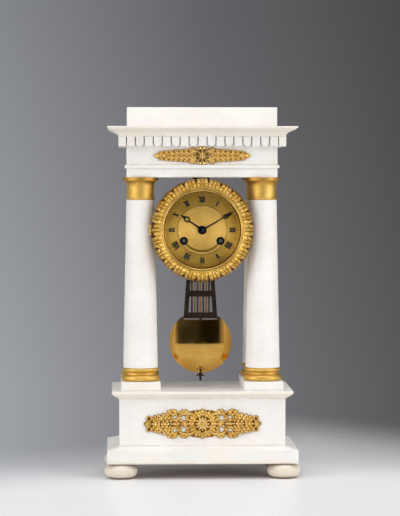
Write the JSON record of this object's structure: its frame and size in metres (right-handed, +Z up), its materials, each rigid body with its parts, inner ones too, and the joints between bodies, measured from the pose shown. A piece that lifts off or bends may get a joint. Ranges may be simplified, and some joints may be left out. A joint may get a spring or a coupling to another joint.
{
  "type": "portico clock",
  "caption": "Marble portico clock: columns on a base carry an entablature, and under it hangs a gilt drum clock with a hinged bezel, hands, train and gridiron pendulum.",
  "frame": {"origin": "on the floor, under the middle of the four feet", "axes": "+X to the right of the dial, +Y to the back, +Z up"},
  "size_m": [0.2554, 0.1654, 0.482],
  "materials": {
    "marble": "polished white marble with faint grey clouding",
    "gilt_bronze": "chased fire-gilt bronze, matt ground and burnished edges",
    "gilt_dial": "engine-turned gilt",
    "brass": "grained brass",
    "polished_brass": "mirror-polished brass",
    "bell_metal": "turned bell metal",
    "blued_steel": "blued steel",
    "steel": "grained steel",
    "dark_iron": "dark bronzed iron",
    "clear_glass": "clear flat glass"
  },
  "bodies": {
    "root": {"bun_feet": "marble", "base_plinth": "marble", "base_die": "marble", "base_cap": "marble", "column_plinths": "marble", "column_shafts": "marble", "architrave": "marble", "frieze": "marble", "dentil_course": "marble", "cornice": "marble", "attic_block": "marble", "column_bases": "gilt_bronze", "capitals": "gilt_bronze", "frieze_mount": "gilt_bronze", "base_mount": "gilt_bronze", "dial": "gilt_dial", "drum_case": "brass", "front_plate": "brass", "back_plate": "brass", "plate_pillars": "brass", "back_cock": "brass", "bell": "bell_metal", "hinge_pins": "steel", "movement_straps": "steel", "clicks": "steel", "suspension_spring": "steel", "bell_standard": "steel", "tie_rods": "dark_iron", "case_nuts": "dark_iron", "drum_hanger": "dark_iron"},
    "bezel": {"bezel": "gilt_bronze", "bezel_glass": "clear_glass"},
    "rear_cover": {"rear_cover": "brass"},
    "minute_hand": {"minute_hand": "blued_steel", "hand_nut": "blued_steel", "cannon_pinion": "steel"},
    "minute_wheel": {"minute_wheel": "brass"},
    "hour_hand": {"hour_hand": "blued_steel", "hour_wheel": "brass"},
    "going_barrel": {"going_barrel": "brass"},
    "going_arbor": {"going_arbor": "steel"},
    "strike_barrel": {"strike_barrel": "brass"},
    "strike_arbor": {"strike_arbor": "steel"},
    "going_second": {"going_second_wheel": "brass"},
    "centre": {"centre_wheel": "brass"},
    "third": {"third_wheel": "brass"},
    "escape": {"escape_wheel": "brass"},
    "strike_second": {"strike_second_wheel": "brass", "count_wheel": "brass"},
    "pin_wheel": {"pin_wheel": "brass"},
    "locking_wheel": {"locking_wheel": "brass"},
    "fly": {"fly": "brass"},
    "anchor": {"anchor": "steel"},
    "pendulum": {"pendulum_frame": "dark_iron", "pendulum_rods": "brass"},
    "bob": {"pendulum_bob": "polished_brass"},
    "rating_nut": {"rating_nut": "dark_iron"},
    "hammer": {"hammer": "steel"}
  },
  "joints": [
    {"name": "bezel_hinge", "type": "hinge", "parent": "root", "child": "bezel", "pos_m": [-0.0673, -0.056, 0.3225], "axis": [0, 0, -1], "range_deg": [0, 95]},
    {"name": "rear_cover_hinge", "type": "hinge", "parent": "root", "child": "rear_cover", "pos_m": [0.0565, 0.0374, 0.3225], "axis": [0, 0, -1], "range_deg": [0, 110]},
    {"name": "minute_hand_turn", "type": "hinge", "parent": "root", "child": "minute_hand", "pos_m": [0, -0.02, 0.3225], "axis": [0, 1, 0], "continuous": true},
    {"name": "minute_wheel_turn", "type": "hinge", "parent": "root", "child": "minute_wheel", "pos_m": [0, -0.02, 0.3085], "axis": [0, 1, 0], "continuous": true},
    {"name": "hour_hand_turn", "type": "hinge", "parent": "root", "child": "hour_hand", "pos_m": [0, -0.02, 0.3225], "axis": [0, 1, 0], "continuous": true},
    {"name": "escape_turn", "type": "hinge", "parent": "root", "child": "escape", "pos_m": [0, -0.02, 0.3349], "axis": [0, 1, 0], "continuous": true},
    {"name": "third_turn", "type": "hinge", "parent": "root", "child": "third", "pos_m": [0.01373, -0.02, 0.33301], "axis": [0, 1, 0], "continuous": true},
    {"name": "centre_turn", "type": "hinge", "parent": "root", "child": "centre", "pos_m": [0, -0.02, 0.3225], "axis": [0, 1, 0], "continuous": true},
    {"name": "going_second_turn", "type": "hinge", "parent": "root", "child": "going_second", "pos_m": [0.00178, -0.02, 0.30368], "axis": [0, 1, 0], "continuous": true},
    {"name": "going_barrel_turn", "type": "hinge", "parent": "root", "child": "going_barrel", "pos_m": [0.0238, -0.02, 0.3083], "axis": [0, 1, 0], "continuous": true},
    {"name": "fly_turn", "type": "hinge", "parent": "root", "child": "fly", "pos_m": [-0.04056, -0.02, 0.33874], "axis": [0, 1, 0], "continuous": true},
    {"name": "locking_turn", "type": "hinge", "parent": "root", "child": "locking_wheel", "pos_m": [-0.03267, -0.02, 0.34426], "axis": [0, 1, 0], "continuous": true},
    {"name": "pin_wheel_turn", "type": "hinge", "parent": "root", "child": "pin_wheel", "pos_m": [-0.01989, -0.02, 0.34891], "axis": [0, 1, 0], "continuous": true},
    {"name": "strike_second_turn", "type": "hinge", "parent": "root", "child": "strike_second", "pos_m": [-0.01989, -0.02, 0.33046], "axis": [0, 1, 0], "continuous": true},
    {"name": "strike_barrel_turn", "type": "hinge", "parent": "root", "child": "strike_barrel", "pos_m": [-0.0238, -0.02, 0.3083], "axis": [0, 1, 0], "continuous": true},
    {"name": "going_winding", "type": "hinge", "parent": "root", "child": "going_arbor", "pos_m": [0.0238, -0.02, 0.3083], "axis": [0, 1, 0], "continuous": true},
    {"name": "strike_winding", "type": "hinge", "parent": "root", "child": "strike_arbor", "pos_m": [-0.0238, -0.02, 0.3083], "axis": [0, 1, 0], "continuous": true},
    {"name": "pendulum_swing", "type": "hinge", "parent": "root", "child": "pendulum", "pos_m": [0, 0.007, 0.3499], "axis": [0, 1, 0], "range_deg": [-4, 4]},
    {"name": "anchor_rock", "type": "hinge", "parent": "root", "child": "anchor", "pos_m": [0, -0.02, 0.3499], "axis": [0, 1, 0], "range_deg": [-4, 4]},
    {"name": "bob_slide", "type": "slide", "parent": "pendulum", "child": "bob", "axis": [0, 0, 1], "range_m": [-0.001, 0.001]},
    {"name": "rating_nut_turn", "type": "hinge", "parent": "bob", "child": "rating_nut", "pos_m": [0, 0.007, 0.1284], "axis": [0, 0, 1], "range_deg": [-721, 721]},
    {"name": "hammer_lift", "type": "hinge", "parent": "root", "child": "hammer", "pos_m": [-0.04, -0.02, 0.3235], "axis": [0, 1, 0], "range_deg": [0, 12], "stiffness_Nm_per_rad": 0.003, "springref_deg": -17.19}
  ],
  "couplings": [
    {"joint": "minute_wheel_turn", "follows": "minute_hand_turn", "ratio": -0.33333},
    {"joint": "hour_hand_turn", "follows": "minute_hand_turn", "ratio": 0.083333},
    {"joint": "third_turn", "follows": "escape_turn", "ratio": -0.1},
    {"joint": "centre_turn", "follows": "escape_turn", "ratio": 0.0083333},
    {"joint": "going_second_turn", "follows": "escape_turn", "ratio": -0.0013889},
    {"joint": "going_barrel_turn", "follows": "escape_turn", "ratio": 0.00021368},
    {"joint": "locking_turn", "follows": "fly_turn", "ratio": -0.14583},
    {"joint": "pin_wheel_turn", "follows": "fly_turn", "ratio": 0.019444},
    {"joint": "strike_second_turn", "follows": "fly_turn", "ratio": -0.0027006},
    {"joint": "strike_barrel_turn", "follows": "fly_turn", "ratio": 0.00041548},
    {"joint": "anchor_rock", "follows": "pendulum_swing", "ratio": 1},
    {"joint": "rating_nut_turn", "follows": "bob_slide", "rad_per_m": 12566}
  ]
}
